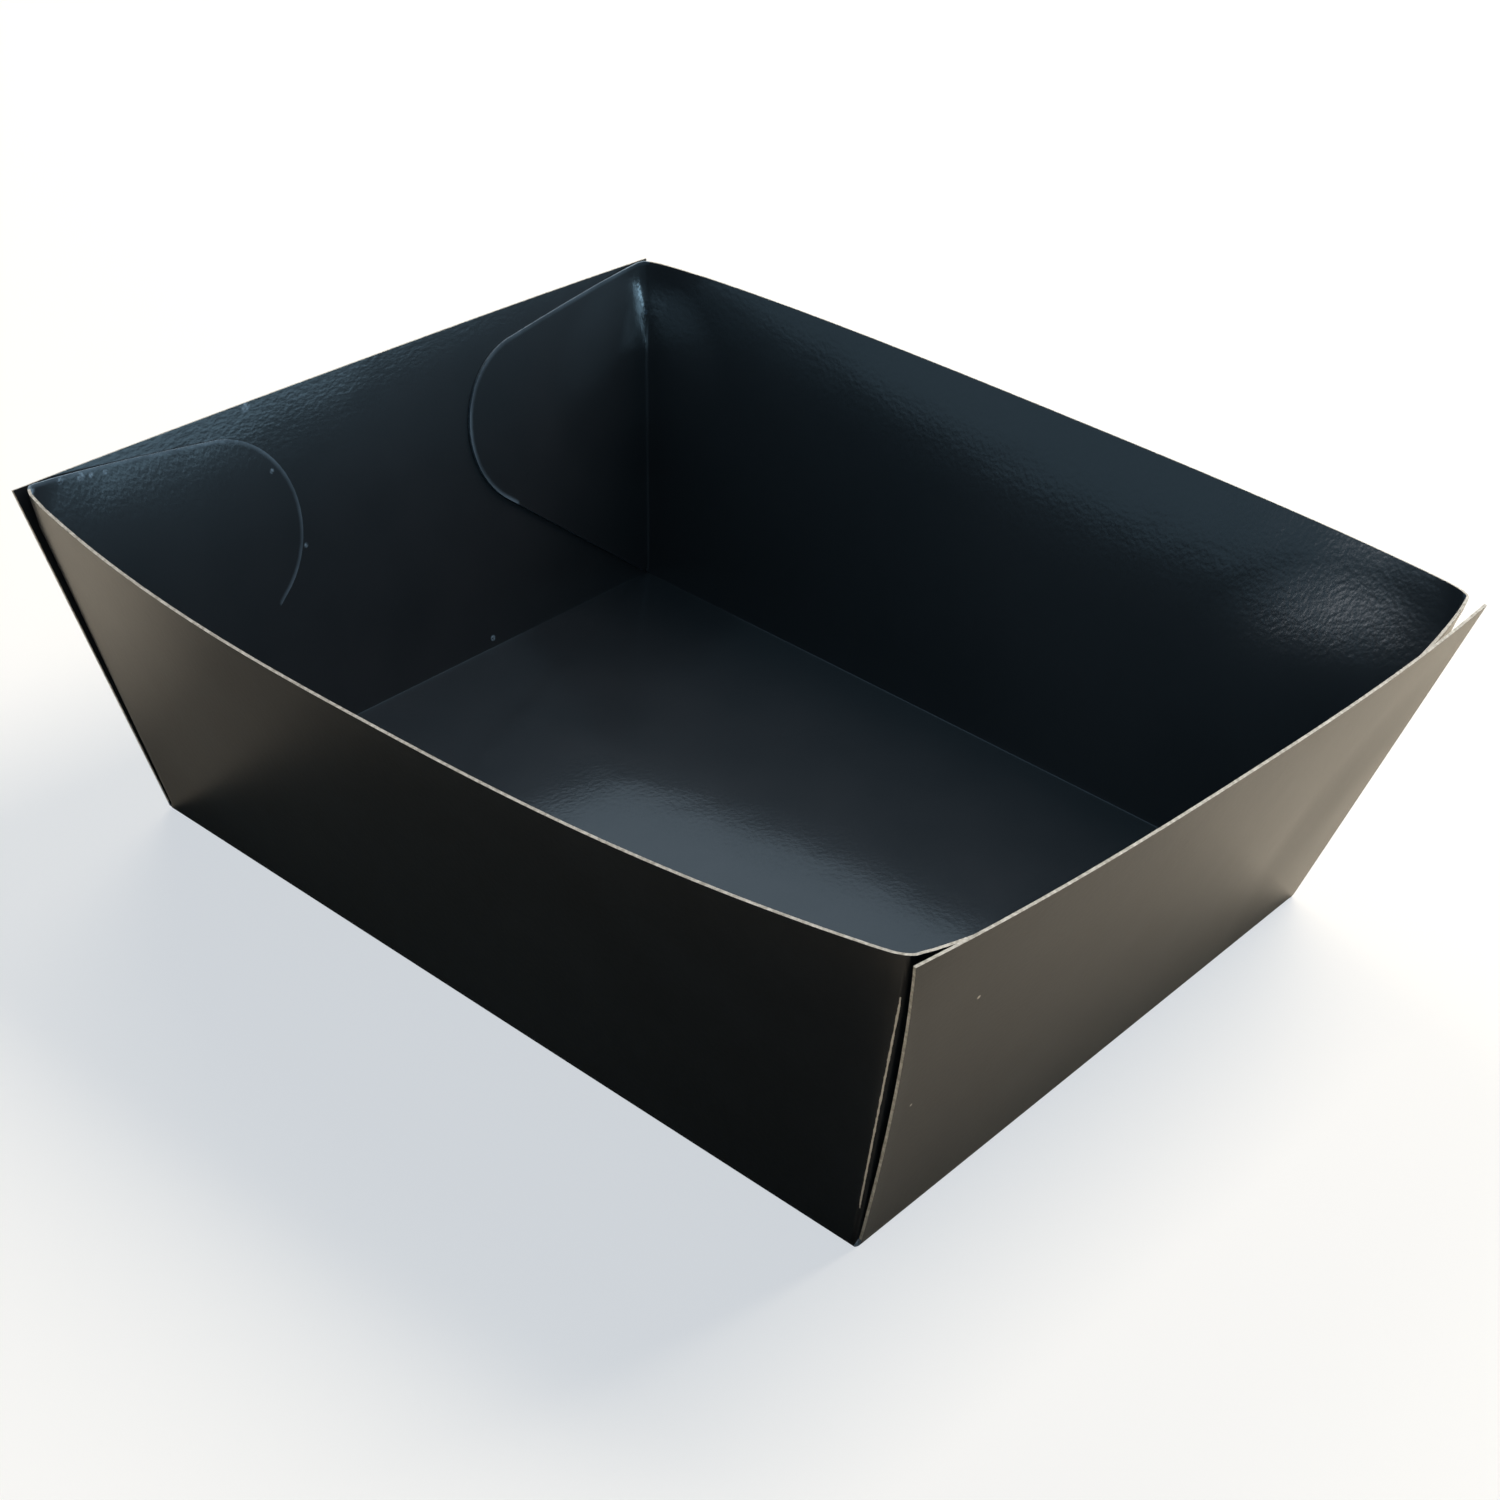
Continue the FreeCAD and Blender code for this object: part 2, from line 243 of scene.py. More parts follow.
def both_rows(v, cells, margin):
    """The same with a margin at both ends."""
    line = v * cells
    if line > cells - 1:
        return 1 - margin * (cells - line)
    return margin + (1 - 2 * margin) * (line - 1) / (cells - 2) if line > 1 else margin * line


# %% Lay the base and the walls
DRAWN_CELLS = 3                   # this many cells from the side edge are drawn back,
BENT_CELLS = 4                    # this many spring back
SPRUNG_CELLS = 7                  # and this many spring out
BENT_SHARE = 0.6                  # how far they spring back, as a share of how far out


def raised(v):
    return first_row(v, HIGH_CELLS, LIFT / CORNER_CREASE)


def across_base(v):
    return both_rows(v, SHORT_CELLS, NIP / BASE_WIDTH)


def base_place(u, v):
    """The base's ends meet the end panels, and its two long edges stop one board short."""
    half = BASE_LENGTH / 2 - (BOARD if min(v, 1 - v) < TOUCH else 0)
    return Vector(((2 * u - 1) * half, (across_base(v) - 0.5) * BASE_WIDTH, 0))


def lay_long(name, wall):
    lay(name, LONG_CELLS, HIGH_CELLS, lambda u, v: wall.share(u, raised(v)),
        lambda u, v: wall.foot(u) + wall.outward * CORNER_CREASE * raised(v))


def lay_end(name, panel, drawn_back=0.0, sprung=0.0):
    """drawn_back moves the side edge at the panel's start, most at its foot, and sprung bows it."""
    def near_edge(u, cells):
        """1 on the side edge, and 0 from that many cells on."""
        return max(0.0, 1 - u * SHORT_CELLS / cells)

    def place(u, v):
        nipped = v < TOUCH and min(u, 1 - u) < TOUCH
        point = panel.share(across_base(u), NIP_RISE / CUT_EDGE if nipped else raised(v))
        if nipped or v > TOUCH:
            bowed = 4 * raised(v) * (1 - raised(v))
            point.y += drawn_back * (1 - raised(v) ** 4) * near_edge(u, DRAWN_CELLS)
            point.y += BENT_SHARE * sprung * bowed * near_edge(u, BENT_CELLS)
            point += panel.outward * sprung * bowed * near_edge(u, SPRUNG_CELLS) ** 2
        return point

    lay(name, SHORT_CELLS, HIGH_CELLS, place,
        lambda u, v: panel.foot(across_base(u)) + panel.outward * CUT_EDGE * raised(v))


lay("base", LONG_CELLS, SHORT_CELLS, base_place, base_place)
lay_long("front", front)
lay_long("back", back)
lay_end("right", right_panel, DRAWN_BACK, SPRUNG)
lay_end("left", left_panel)
print("faces after the walls:", len(sheet.faces))

# %% [markdown]
# ## The tabs
#
# A tab leaves the long wall at its corner crease and runs along the inside of the end
# panel. Near the crease it hasn't reached the panel yet, because the fold stands off it,
# so the distance that it misses by fades out over the first part of the tab. The tongue
# with its round end is convex, and a convex outline can be cut with straight strokes:
# `bisect_plane` takes away what lies outside one line after another, all tangent to the
# same round. The first and last of them run on as the tongue's straight edges.

# %% Fold the tabs inside the end panels
SPARE = 4 * mm                    # the uncut tab is this much longer than the cut one
SETTLE = 1.5                      # how quickly a tab comes to its panel, 1 is evenly


def fold_tab(name, wall, wall_end, panel, reach):
    """Lays one tab behind its end panel. wall_end and the panel's start are 0 or 1."""
    panel_start = 0 if (panel.feet[0] - wall.foot(wall_end)).length < BASE_WIDTH / 2 else 1
    inwards = 1 if panel_start == 0 else -1
    crease_top = wall.rim(wall_end).z
    side = Vector((math.copysign(1, wall.foot(wall_end).x), 0, 0))

    def place(u, v):
        away = u * (reach + SPARE)
        height = raised(v) * crease_top
        along = panel_start + inwards * away / panel.length()
        inside = panel.outward * -(panel.across + GLUE_LINE)
        glued = panel.at(along, height) + inside
        miss = wall.at(wall_end, height) - (panel.at(panel_start, height) + inside)
        return glued + miss * max(0.0, 1 - away / TAB_FREE) ** SETTLE

    lay(name, TAB_CELLS, HIGH_CELLS, place,
        lambda u, v: wall.foot(wall_end) + wall.outward * CORNER_CREASE * raised(v)
        + side * u * (reach + SPARE))


TABS = (("tab_front_left", front, 0, left_panel, FRONT_TAB),
        ("tab_front_right", front, 1, right_panel, FRONT_TAB),
        ("tab_back_right", back, 0, right_panel, BACK_TAB),
        ("tab_back_left", back, 1, left_panel, BACK_TAB))
for tab in TABS:
    fold_tab(*tab)
print("faces with the uncut tabs:", len(sheet.faces))


# %% Cut the round tongues
ROUND_CUTS = 22                   # strokes round the end of a tab
ON_CUT = 1e-7                     # a point this near a stroke, in metres, lies on it


def geometry_of(name):
    """Faces, edges and points of one panel, in the form that bmesh operators take."""
    faces = [face for face in sheet.faces if face[panel_of] == PANELS.index(name)]
    edges = {edge for face in faces for edge in face.edges}
    verts = {vert for face in faces for vert in face.verts}
    return faces + list(edges) + list(verts)


def trim(name, point, outward):
    bmesh.ops.bisect_plane(sheet, geom=geometry_of(name), dist=ON_CUT, plane_co=point,
                           plane_no=outward, clear_outer=True)


def touch_angle(start, centre, swing):
    """Angle at which a line from start touches the tab's round. Both are (inward, up)."""
    back_x, back_z = start[0] - centre[0], start[1] - centre[1]
    return math.atan2(back_z, back_x) + swing * math.acos(TAB_ROUND / math.hypot(back_x, back_z))


def cut_tongue(name, wall, wall_end, reach):
    inward = -wall.outward
    crease_top = wall.rim(wall_end).z

    def crease(height):
        return wall.at(wall_end, height).dot(inward)

    centre = (crease(TAB_CENTRE) + reach - TAB_ROUND, TAB_CENTRE)
    high = (crease(crease_top) + TAB_ROOT, crease_top)
    low = (crease(TAB_FOOT) + TAB_ROOT, TAB_FOOT)
    first = touch_angle(high, centre, -1)
    last = touch_angle(low, centre, 1)
    if last > 0:
        last -= 2 * math.pi
    for i in range(ROUND_CUTS + 1):
        angle = first + (last - first) * i / ROUND_CUTS
        outward = inward * math.cos(angle) + Vector((0, 0, math.sin(angle)))
        middle = inward * centre[0] + Vector((0, 0, centre[1]))
        trim(name, middle + outward * TAB_ROUND, outward)
    lowest = wall.share(wall_end, LIFT / CORNER_CREASE).z
    trim(name, Vector((0, 0, lowest)), Vector((0, 0, -1)))


for name, wall, wall_end, _, reach in TABS:
    cut_tongue(name, wall, wall_end, reach)
print("faces with the cut tabs:", len(sheet.faces))

# %% [markdown]
# ## One sheet, soft corners, round creases
#
# The panels are merged where they share a crease. An edge between faces of two panels is
# then a crease, and bevelling those edges gives each one the small radius of a real fold.
# Before that, smoothing rounds the tops of the four corners, because a hand pressed them:
# there the board turns in a wide curve that narrows down to the crease.

# %% Join the panels
MERGE = 0.001 * mm                # points nearer than this become one
bmesh.ops.remove_doubles(sheet, verts=sheet.verts, dist=MERGE)
bmesh.ops.recalc_face_normals(sheet, faces=sheet.faces)


def is_crease(edge):
    kinds = {face[panel_of] for face in edge.link_faces}
    return len(edge.link_faces) == 2 and len(kinds) == 2


print("crease edges:", sum(is_crease(edge) for edge in sheet.edges),
      "border edges:", sum(edge.is_boundary for edge in sheet.edges))


# %% Soften the corners
def soften(top, wall, tab, reach, passes):
    """Rounds the top of a corner. Each pass works on a smaller part than the one before."""
    near = {item for name in (wall, tab) for item in geometry_of(name)
            if isinstance(item, bmesh.types.BMVert)}
    for turn in range(passes):
        limit = reach * (1 - turn / passes)
        soft = [vert for vert in near if (vert.co - top).length < limit]
        bmesh.ops.smooth_vert(sheet, verts=soft, factor=0.5, use_axis_x=True, use_axis_y=True)


soften(back_left.wall_top, "back", "tab_back_left", 12 * mm, 8)
soften(front_left.wall_top, "front", "tab_front_left", 6 * mm, 3)
soften(front_right.wall_top, "front", "tab_front_right", 4 * mm, 2)
soften(back_right.wall_top, "back", "tab_back_right", 5 * mm, 3)
print("corners softened")

# %% Round the creases
CORNER_RADIUS = 0.8 * mm          # outside radius of the upright folds
FOOT_RADIUS = 0.5 * mm            # outside radius of the folds round the base
CORNER_STEPS = 6                  # flats that make up an upright fold
FOOT_STEPS = 4                    # and a fold round the base
FOOT_BAND = 0.1 * mm              # an edge wholly below this height belongs to the base's folds


def round_creases(edges, offset, steps):
    bmesh.ops.bevel(sheet, geom=edges, offset=offset, offset_type="OFFSET", segments=steps,
                    profile=0.5, affect="EDGES", material=-1)


def at_foot(edge):
    return max(vert.co.z for vert in edge.verts) < FOOT_BAND


upright = [edge for edge in sheet.edges if is_crease(edge) and not at_foot(edge)]
round_creases(upright, CORNER_RADIUS, CORNER_STEPS)
foot_tangent = FOOT_RADIUS * math.tan((math.pi / 2 - front.slope) / 2)
level = [edge for edge in sheet.edges if is_crease(edge) and at_foot(edge)]
round_creases(level, foot_tangent, FOOT_STEPS)
bmesh.ops.recalc_face_normals(sheet, faces=sheet.faces)
base_face = min(sheet.faces, key=lambda face: face.calc_center_median().length)
if base_face.normal.z > 0:
    bmesh.ops.reverse_faces(sheet, faces=sheet.faces)
print("sheet faces:", len(sheet.faces), "base faces down:", base_face.normal.z < 0)

# %% [markdown]
# The film has cracked along the near corner fold, where it was bent hardest, and is dull
# from there to the end panel. The points of the fold are taken row by row and sorted from
# the wall round to the tab. One point of each row carries the crack, the rest are dull.

# %% Mark the cracked fold
CRACK_LOW, CRACK_HIGH = 0.14, 0.87    # the shares of the crease where it starts and ends
CRACKED = 2                       # which point of a row, counted from 0 at the wall
FOLD_REACH = 1.25 * CORNER_RADIUS     # points this near the crease lie on the fold
crack_of = sheet.verts.layers.float.new("crack")
dull_of = sheet.verts.layers.float.new("dull")
axis = front_right.wall_top - front_right.wall_foot
rows = {}
for vert in sheet.verts:
    share = (vert.co - front_right.wall_foot).dot(axis) / axis.length_squared
    off = vert.co - (front_right.wall_foot + axis * share)
    if 0 < share < 1 and off.length < FOLD_REACH:
        row = rows.setdefault(round(share * HIGH_CELLS), [])
        row.append((off.x + off.y, vert.index, vert, share))
for row in rows.values():
    row.sort(key=lambda item: item[:2])
    for place_in_row, (_, _, vert, share) in enumerate(row):
        if place_in_row == CRACKED and CRACK_LOW < share < CRACK_HIGH:
            vert[crack_of] = 1.0
        vert[dull_of] = 1.0 if place_in_row >= CRACKED else 0.0
print("rows on the fold:", len(rows), "points in a row:", {len(row) for row in rows.values()})

# %% [markdown]
# The tabs' cut edges carry a painted highlight line, standing in for the light that a rounded
# edge catches. Each point of a tab keeps its distance from the cut. A distance runs evenly
# across long and short cells alike, so the finish can draw a line of even width with it.

# %% Measure the tabs from their cut edges
HIGHLIGHT_LINE_ABOVE = 24 * mm            # the painted highlight line runs only along cut edges above this height
FAR = 1.0                         # in metres, for points that lie on no tab
cut_of = sheet.verts.layers.float.new("from_cut")
for vert in sheet.verts:
    vert[cut_of] = FAR
for name, *_ in TABS:
    parts = geometry_of(name)
    rim = [item for item in parts if isinstance(item, bmesh.types.BMEdge) and item.is_boundary
           and min(vert.co.z for vert in item.verts) > HIGHLIGHT_LINE_ABOVE]
    for vert in [item for item in parts if isinstance(item, bmesh.types.BMVert)]:
        for edge in rim:
            start, end = edge.verts[0].co, edge.verts[1].co
            share = intersect_point_line(vert.co, start, end)[1]
            near = start.lerp(end, min(1, max(0, share)))
            vert[cut_of] = min(vert[cut_of], (vert.co - near).length)
    print(name, "cut edges:", len(rim))

# %% [markdown]
# ## The finish of the board
#
# The board is pulp with a thin black film on both faces. The film is glossy but follows
# the felted grain of the board under it, so its reflections break up into short streaks
# along the grain. Under the mirror gloss lies a much wider, weaker sheen. The grain reads
# the position on the flat blank, the wear and the painted highlights read what the points of
# the mesh keep, and everything else reads Object coordinates. In two broad places, the back
# wall's right end and the back left corner, the board is swollen a little. It shows only where
# the swelling tilts the highlights, so a bump is enough. A few helpers keep the node trees short.

# %% Helpers for the finishes
USUAL_NOISE = (0.3, 0.7)          # most values of a noise texture lie between these


def new_finish(name):
    """A new material with its node tree and its Principled shader."""
    material = bpy.data.materials.new(name)
    material.use_nodes = True
    return material, material.node_tree, material.node_tree.nodes["Principled BSDF"]


def add(tree, kind, **values):
    """Adds a node, and sets the named inputs or properties that are given."""
    node = tree.nodes.new(kind)
    for name, value in values.items():
        if name in node.inputs:
            node.inputs[name].default_value = value
        else:
            setattr(node, name, value)
    return node


def rescale(tree, value, old, new=(0.0, 1.0), course="LINEAR"):
    """Turns a value that runs over the old pair into one that runs over the new pair."""
    node = add(tree, "ShaderNodeMapRange", interpolation_type=course)
    for name, level in zip(("From Min", "From Max", "To Min", "To Max"), (*old, *new)):
        node.inputs[name].default_value = level
    tree.links.new(value, node.inputs["Value"])
    return node.outputs["Result"]


def noise(tree, where, scale, detail, low=0.0, high=1.0):
    """Noise between low and high, with scale in cells per metre."""
    source = add(tree, "ShaderNodeTexNoise", Scale=scale, Detail=detail)
    tree.links.new(where, source.inputs["Vector"])
    return rescale(tree, source.outputs["Fac"], USUAL_NOISE, (low, high))


def bump(tree, height, depth, normal=None):
    node = add(tree, "ShaderNodeBump", Strength=1.0, Distance=depth)
    tree.links.new(height, node.inputs["Height"])
    if normal:
        tree.links.new(normal, node.inputs["Normal"])
    return node.outputs["Normal"]


def maths(tree, operation, first, second):
    node = add(tree, "ShaderNodeMath", operation=operation)
    for socket, value in zip(node.inputs, (first, second)):
        if isinstance(value, float):
            socket.default_value = value
        else:
            tree.links.new(value, socket)
    return node.outputs[0]


def blend(tree, share, first, second):
    """Blends two colours, each of them a socket or a tuple of three numbers."""
    node = add(tree, "ShaderNodeMix", data_type="RGBA")
    tree.links.new(share, node.inputs["Factor"])
    for socket, colour in ((node.inputs["A"], first), (node.inputs["B"], second)):
        if isinstance(colour, tuple):
            socket.default_value = (*colour, 1)
        else:
            tree.links.new(colour, socket)
    return node.outputs["Result"]


# %% [markdown]
# Handling left small marks. The crack frays where a noise is added to its marked points,
# and a threshold then draws a ragged edge. A painted glint, a small pale blue highlight, is a
# distance from a place on the tray that fades out, and the painted highlight line along the
# tabs' cut edges uses the distance that the points already keep.

# %% Wear and painted glints
HIGHLIGHT_LINE_WIDTH = 0.9 * mm              # width of the painted highlight line along a tab's cut edge
GLINT_SCALE = 1600.0                # noise in the painted glints, in cells per metre
LINE_SCALE = 120.0                # noise along the painted highlight line
FRAY_SCALE = 900.0                # noise that frays the crack
CRACK_OPENS = 0.38                # the frayed crack is open above this
WEAR_DETAIL = 3.0
SPOT_CORE = 0.3                   # share of a spot's radius where its mark is at full strength
SPECKS = ((83.7, -51.9, 46.0, 0.45), (80.1, -59.3, 29.7, 0.4))    # x, y, z, radius in mm
# painted highlights: small pale blue glints where the film mirrors the cool window, x, y, z, radius
# in mm
PAINTED_GLINTS = ((-90.3, -71.8, 59.0, 1.5), (-91.4, -65.5, 58.2, 0.9), (-91.4, -61.6, 57.5, 1.1),
        (-91.4, -59.5, 57.1, 0.7), (-91.4, -56.7, 56.6, 0.6), (-88.1, -24.6, 46.9, 0.6),
        (-84.3, -20.7, 32.5, 0.6), (-92.1, -26.7, 58.5, 1.3), (-75.1, 17.0, 2.2, 0.7),
        (-84.3, 66.1, 51.5, 0.6))


def spots(tree, where, marks):
    """1 in the core of each mark, fading to 0 at its radius."""
    total = None
    for x, y, z, radius in marks:
        away = add(tree, "ShaderNodeVectorMath", operation="DISTANCE")
        away.inputs[1].default_value = (x * mm, y * mm, z * mm)
        tree.links.new(where, away.inputs[0])
        spot = rescale(tree, away.outputs["Value"], (radius * mm, SPOT_CORE * radius * mm),
                       course="SMOOTHSTEP")
        total = maths(tree, "MAXIMUM", total, spot) if total else spot
    return total


def outer_wear(tree, where):
    """The marked loop of the fold, made ragged, and two specks on the right panel."""
    loop = add(tree, "ShaderNodeAttribute", attribute_name="crack").outputs["Fac"]
    ragged = maths(tree, "ADD", loop, noise(tree, where, FRAY_SCALE, WEAR_DETAIL, -0.25, 0.2))
    crack = maths(tree, "GREATER_THAN", ragged, CRACK_OPENS)
    return maths(tree, "MAXIMUM", crack, spots(tree, where, SPECKS))


def inner_painted_glints(tree, where):
    """Painted highlights: pale blue glints near the left panel, and a light line along the tabs'
    cut edges.
    """
    patchy = noise(tree, where, GLINT_SCALE, WEAR_DETAIL, -0.1, 0.8)
    glints = maths(tree, "MULTIPLY", spots(tree, where, PAINTED_GLINTS), patchy)
    away = add(tree, "ShaderNodeAttribute", attribute_name="from_cut").outputs["Fac"]
    line = rescale(tree, away, (HIGHLIGHT_LINE_WIDTH, 0.0), course="SMOOTHSTEP")
    uneven = noise(tree, where, LINE_SCALE, WEAR_DETAIL, 0.1, 0.3)
    return maths(tree, "MAXIMUM", glints, maths(tree, "MULTIPLY", line, uneven))


# %% Mix the coating
CLOUD_SCALE, CLOUD_DETAIL = 60.0, 4.0     # soft clouds in the film's colour
DARKER, LIGHTER = 0.8, 1.2        # how far those clouds reach from it
SWAY_SCALE, SWAY_DETAIL = 45.0, 2.0
SWAY = 0.05 * mm                  # the board is never quite flat
GRAIN_SCALE, GRAIN_DETAIL = 1300.0, 1.0
GRAIN = 0.006 * mm                # depth of the felted grain
ALONG_GRAIN = (1.0, 0.7, 1.0)     # the grain is drawn out across the blank
SWELL = 0.9 * mm                  # how far the swollen places stand out
SWOLLEN = ((72, 66, 21, 36), (-85, 62, 38, 22))   # x, y, z, radius in mm


def coating(name, colour, gloss, sheen, wear_or_glints, bare_or_glint):
    """gloss is (weight, roughness) of the mirror film, sheen (level, roughness) of the rest.

    Where wear_or_glints is 1 the mirror film is gone and the bare colour shows. On the inner film
    that colour is a pale blue painted highlight.
    """
    material, tree, shader = new_finish(name)
    where = add(tree, "ShaderNodeTexCoord").outputs["Object"]
    flat = add(tree, "ShaderNodeAttribute", attribute_name="flat").outputs["Vector"]
    shader.inputs["Specular IOR Level"].default_value = sheen[0]
    shader.inputs["Roughness"].default_value = sheen[1]
    dull = add(tree, "ShaderNodeAttribute", attribute_name="dull").outputs["Fac"]
    worn_or_glinting = wear_or_glints(tree, where)
    kept = maths(tree, "SUBTRACT", 1.0, maths(tree, "MAXIMUM", dull, worn_or_glinting))
    tree.links.new(maths(tree, "MULTIPLY", kept, gloss[0]), shader.inputs["Coat Weight"])
    shader.inputs["Coat Roughness"].default_value = gloss[1]

    clouded = blend(tree, noise(tree, where, CLOUD_SCALE, CLOUD_DETAIL),
                    tuple(c * DARKER for c in colour), tuple(c * LIGHTER for c in colour))
    # on the outer film this shows real wear, on the inner film it paints highlights into the base
    # colour
    tree.links.new(blend(tree, worn_or_glinting, clouded, bare_or_glint), shader.inputs["Base Color"])

    along = add(tree, "ShaderNodeVectorMath", operation="MULTIPLY")
    along.inputs[1].default_value = ALONG_GRAIN
    tree.links.new(flat, along.inputs[0])
    sway = bump(tree, noise(tree, where, SWAY_SCALE, SWAY_DETAIL), SWAY)
    swell = bump(tree, spots(tree, where, SWOLLEN), SWELL, sway)
    grain = noise(tree, along.outputs["Vector"], GRAIN_SCALE, GRAIN_DETAIL)
    felt = bump(tree, grain, GRAIN, swell)
    tree.links.new(felt, shader.inputs["Normal"])
    tree.links.new(felt, shader.inputs["Coat Normal"])
    return material


outer_film = coating("outer_film", (0.006, 0.008, 0.011), (0.42, 0.2), (0.05, 0.4),
                     outer_wear, (0.5, 0.48, 0.44))
# the inner film's pale blue bare colour is a painted highlight, for its glints and its line along
# the tabs' cut edges
inner_film = coating("inner_film", (0.008, 0.008, 0.009), (0.75, 0.13), (0.28, 0.65),
                     inner_painted_glints, (0.30, 0.44, 0.58))
print("finishes:", outer_film.name, inner_film.name)

# %% Mix the cut edges
FIBRE_SCALE, FIBRE_DETAIL = 1500.0, 3.0


def pulp(name, dark, light, level, roughness):
    """Bare pulp of a cut edge, fibre by fibre between a dark and a light colour."""
    material, tree, shader = new_finish(name)
    shader.inputs["Roughness"].default_value = roughness
    shader.inputs["Specular IOR Level"].default_value = level
    where = add(tree, "ShaderNodeTexCoord").outputs["Object"]
    fibres = noise(tree, where, FIBRE_SCALE, FIBRE_DETAIL)
    tree.links.new(blend(tree, fibres, dark, light), shader.inputs["Base Color"])
    return material


raw_pulp = pulp("raw_pulp", (0.32, 0.30, 0.26), (0.62, 0.60, 0.55), 0.2, 0.9)
pressed_or_low_pulp = pulp("pressed_or_low_pulp", (0.09, 0.12, 0.15), (0.18, 0.22, 0.26), 0.5, 0.6)
print("cut edges:", raw_pulp.name, pressed_or_low_pulp.name)

# %% [markdown]
# ## Giving the sheet its thickness
#
# A Solidify modifier grows the board inwards from its outer face. It keeps three material
# slots apart: the outer film stays, the grown face takes the next slot, and the rim that
# closes the cut edges takes the one after. The modifier is applied here, so that edges
# sharper than a fold can be marked and the glossy faces keep clean reflections. The glued
# tabs were pressed hard and film was dragged over their edges, so those are dark.

# %% Thicken the board
RIM_SLOT = 2                      # the slots follow the order in which the finishes are added
PRESSED_OR_LOW_SLOT = 3
LOW = 1.5 * mm                    # the cut edges below this height are dark as well

mesh = bpy.data.meshes.new("folded_tray_blank")
sheet.to_mesh(mesh)
sheet.free()
for finish in (outer_film, inner_film, raw_pulp, pressed_or_low_pulp):
    mesh.materials.append(finish)
blank = bpy.data.objects.new("folded_tray_blank", mesh)
bpy.context.scene.collection.objects.link(blank)
board = blank.modifiers.new("board", "SOLIDIFY")
board.thickness = BOARD
board.offset = -1.0
board.use_even_offset = True
board.use_rim = True
board.material_offset = 1
board.material_offset_rim = RIM_SLOT

evaluated = blank.evaluated_get(bpy.context.evaluated_depsgraph_get())
solid = bpy.data.meshes.new_from_object(evaluated)
solid.name = "folded_tray"
bpy.data.objects.remove(blank)
home = solid.attributes["panel"].data
pressed = [PANELS.index("tab_front_left"), PANELS.index("tab_back_left")]
for polygon in solid.polygons:
    # the glued tabs' cut edges, and every cut edge at the foot, take the dark pulp
    dark_edge = home[polygon.index].value in pressed or polygon.center.z < LOW
    if polygon.material_index == RIM_SLOT and dark_edge:
        polygon.material_index = PRESSED_OR_LOW_SLOT
print("pressed faces:", sum(polygon.material_index == PRESSED_OR_LOW_SLOT for polygon in solid.polygons))

# %% Hand the tray over
SHARP_FROM = math.radians(32)     # a fold's flats meet at less than this, and cut edges at more

for polygon in solid.polygons:
    polygon.use_smooth = True
solid.set_sharp_from_angle(angle=SHARP_FROM)
tray = bpy.data.objects.new("folded_tray", solid)
bpy.context.scene.collection.objects.link(tray)
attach(tray, "root")
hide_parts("tray")
print("tray triangles:", sum(len(p.vertices) - 2 for p in solid.polygons))

# %% [markdown]
# ## Floor and light
#
# The black film shows little of its own colour. What the eye reads is what it mirrors:
# the warm lit floor at the ends of the outer walls, the tray's own shadow in between, and
# the cool surroundings over the back rim on the inside of the base. So the key lamp stands
# high and close behind the tray, where the floor is lit best, and the shadow falls towards
# the camera. A weaker lamp lights the floor on the left. The floor is warm and plain
# for the film, and is lifted towards white for the camera only, which also keeps the
# shadow in the picture light. Cool windows give the highlights: one behind the tray for its
# base, a low one to the right for the left panel, and two small bright panes for the rounded
# back corner and for the right end of the back wall. The surroundings are white for the
# camera and a cool pale blue for the film, and light the board only dimly.

# %% Lay the floor
FLOOR_SIZE = 6.0                  # metres
LIFTED = 0.62                     # share of plain white that the camera sees in the floor


def choose(tree, share, first, second):
    """Mixes two shader nodes: the first where share is 0, the second where it is 1."""
    node = add(tree, "ShaderNodeMixShader")
    tree.links.new(share, node.inputs[0])
    tree.links.new(first.outputs[0], node.inputs[1])
    tree.links.new(second.outputs[0], node.inputs[2])
    return node


floor_mesh = bpy.data.meshes.new("floor")
plane = bmesh.new()
bmesh.ops.create_grid(plane, x_segments=1, y_segments=1, size=FLOOR_SIZE / 2)
plane.to_mesh(floor_mesh)
plane.free()
floor = bpy.data.objects.new("floor", floor_mesh)
bpy.context.scene.collection.objects.link(floor)
paper = bpy.data.materials.new("floor_paper")
paper.use_nodes = True
ground = paper.node_tree
ground.nodes.clear()
lit = add(ground, "ShaderNodeBsdfDiffuse", Color=(0.90, 0.80, 0.65, 1))
white = add(ground, "ShaderNodeEmission", Color=(0.89, 0.94, 1.0, 1), Strength=1.09)
eye = add(ground, "ShaderNodeLightPath").outputs["Is Camera Ray"]
shown = choose(ground, maths(ground, "MULTIPLY", eye, LIFTED), lit, white)
ground.links.new(shown.outputs[0], add(ground, "ShaderNodeOutputMaterial").inputs["Surface"])
floor_mesh.materials.append(paper)
print("floor", FLOOR_SIZE, "m square")


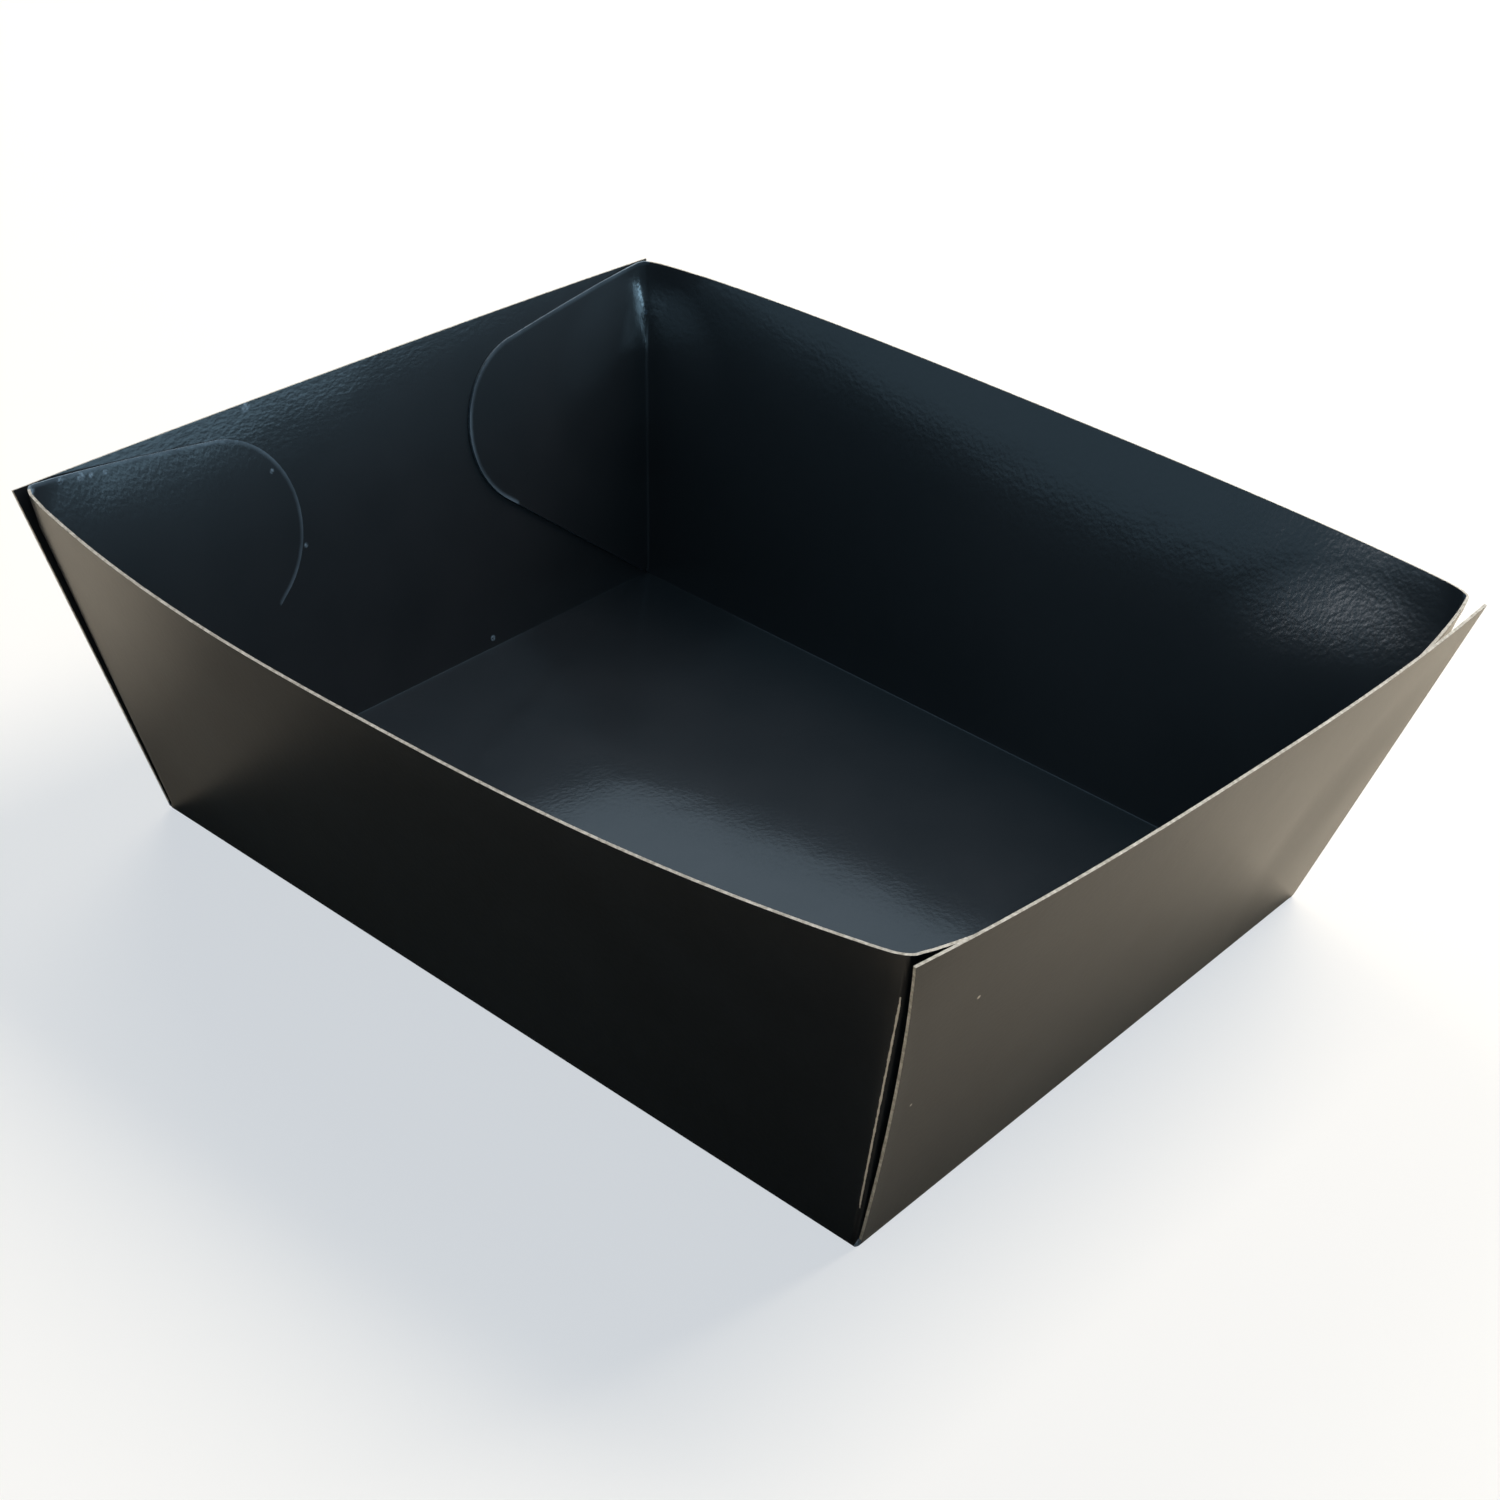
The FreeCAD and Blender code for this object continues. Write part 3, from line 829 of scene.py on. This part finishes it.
# %% Set the lamps
def softbox(name, azimuth, elevation, distance, wide, high, watts, colour):
    """A rectangular area lamp that looks at the tray from the given direction."""
    lamp = bpy.data.lights.new(name, "AREA")
    lamp.shape = "RECTANGLE"
    lamp.size, lamp.size_y = wide, high
    lamp.energy = watts
    lamp.color = colour
    turn, rise = math.radians(azimuth), math.radians(elevation)
    away = Vector((math.cos(rise) * math.cos(turn), math.cos(rise) * math.sin(turn),
                   math.sin(rise)))
    body = bpy.data.objects.new(name, lamp)
    aim = away.to_track_quat("Z", "Y").to_matrix().to_4x4()
    body.matrix_world = Matrix.Translation(away * distance) @ aim
    body.visible_camera = False
    bpy.context.scene.collection.objects.link(body)
    return body


WARM = (1.0, 0.97, 0.93)
WINDOW_AWAY = 1.5                 # metres from the tray to each window
for lamp in (softbox("key", 78, 52, 0.95, 0.5, 0.5, 11.5, WARM),
             softbox("fill_left", 150, 42, 1.1, 0.5, 0.5, 5.0, WARM)):
    lamp.visible_glossy = False       # it lights the board, but the film shows no lamp
for window in (softbox("window_right", 20, 13, WINDOW_AWAY, 1.2, 0.5, 5.0, (0.48, 0.78, 1.0)),
               softbox("pane_right", 14, 5, WINDOW_AWAY, 0.6, 0.24, 6.0, (0.45, 0.76, 1.0)),
               softbox("pane_front", -130, 8, WINDOW_AWAY, 0.26, 0.14, 0.65, (0.96, 0.96, 1.0)),
               softbox("window_back", 127, 41, WINDOW_AWAY, 0.9, 0.55, 0.8, (0.92, 0.96, 1.0))):
    window.visible_diffuse = False    # the film mirrors it, and it lights nothing

# %% Colour the surroundings
world = bpy.data.worlds.new("studio")
bpy.context.scene.world = world
world.use_nodes = True
sky = world.node_tree
sky.nodes.clear()
path = add(sky, "ShaderNodeLightPath").outputs
mirrored = maths(sky, "MAXIMUM", path["Is Glossy Ray"], path["Is Transmission Ray"])
plain = add(sky, "ShaderNodeBackground", Color=(0.95, 0.98, 1.0, 1), Strength=1.0)
cool = add(sky, "ShaderNodeBackground", Color=(0.46, 0.76, 1.0, 1), Strength=1.0)
dim = add(sky, "ShaderNodeBackground", Color=(0.80, 0.92, 1.0, 1), Strength=0.13)
shown = choose(sky, path["Is Camera Ray"], choose(sky, mirrored, dim, cool), plain)
sky.links.new(shown.outputs[0], add(sky, "ShaderNodeOutputWorld").inputs["Surface"])
bpy.context.scene.view_settings.view_transform = "Standard"
print("surroundings set")
